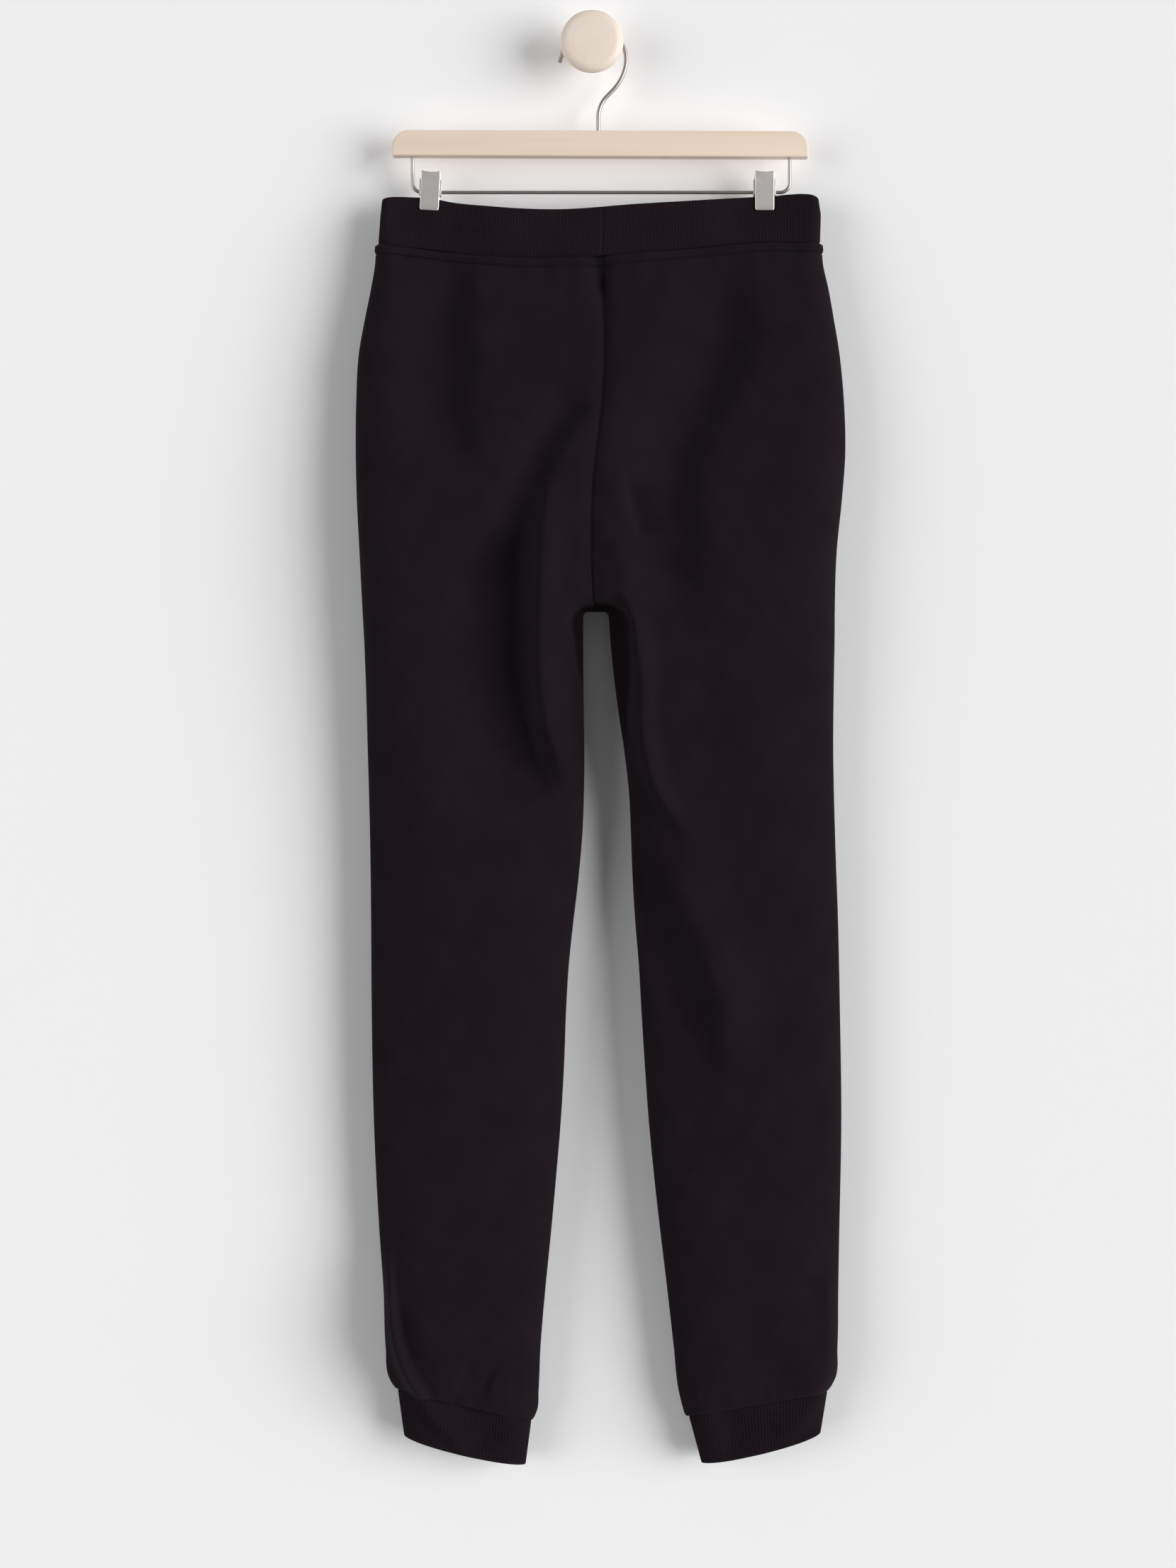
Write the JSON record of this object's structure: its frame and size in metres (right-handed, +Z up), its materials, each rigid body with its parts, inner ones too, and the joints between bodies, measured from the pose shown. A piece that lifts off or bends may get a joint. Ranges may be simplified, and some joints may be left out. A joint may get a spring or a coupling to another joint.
{
  "type": "joggers on a wooden clip hanger and wall knob",
  "caption": "Cuffed sweat joggers with a ribbed waistband, gripped flat at the waist by the clips of a wooden hanger whose hook lies over a round wall knob.",
  "frame": {"origin": "the middle of the wall knob's flat back, which lies on the wall", "axes": "+Z up along the hanging garment, +Y into the wall, +X to the right of a viewer who faces the wall and sees the garment's back"},
  "size_m": [0.4141, 0.0672, 1.2291],
  "materials": {
    "sweat_cloth": "matte black cotton sweat cloth, smooth face",
    "rib_knit": "matte black rib knit",
    "pale_wood": "pale smooth hardwood, satin",
    "satin_steel": "satin nickel"
  },
  "bodies": {
    "root": {"back_left_panel": "sweat_cloth", "back_right_panel": "sweat_cloth", "front_left_panel": "sweat_cloth", "front_right_panel": "sweat_cloth", "waistband": "rib_knit", "left_cuff": "rib_knit", "right_cuff": "rib_knit", "hanger_bar": "pale_wood", "wall_knob": "pale_wood", "hanger_hook": "satin_steel", "hanger_rail": "satin_steel", "left_clip_front_jaw": "satin_steel", "left_clip_rear_jaw": "satin_steel", "left_clip_spring": "satin_steel", "right_clip_front_jaw": "satin_steel", "right_clip_rear_jaw": "satin_steel", "right_clip_spring": "satin_steel"}
  },
  "joints": []
}
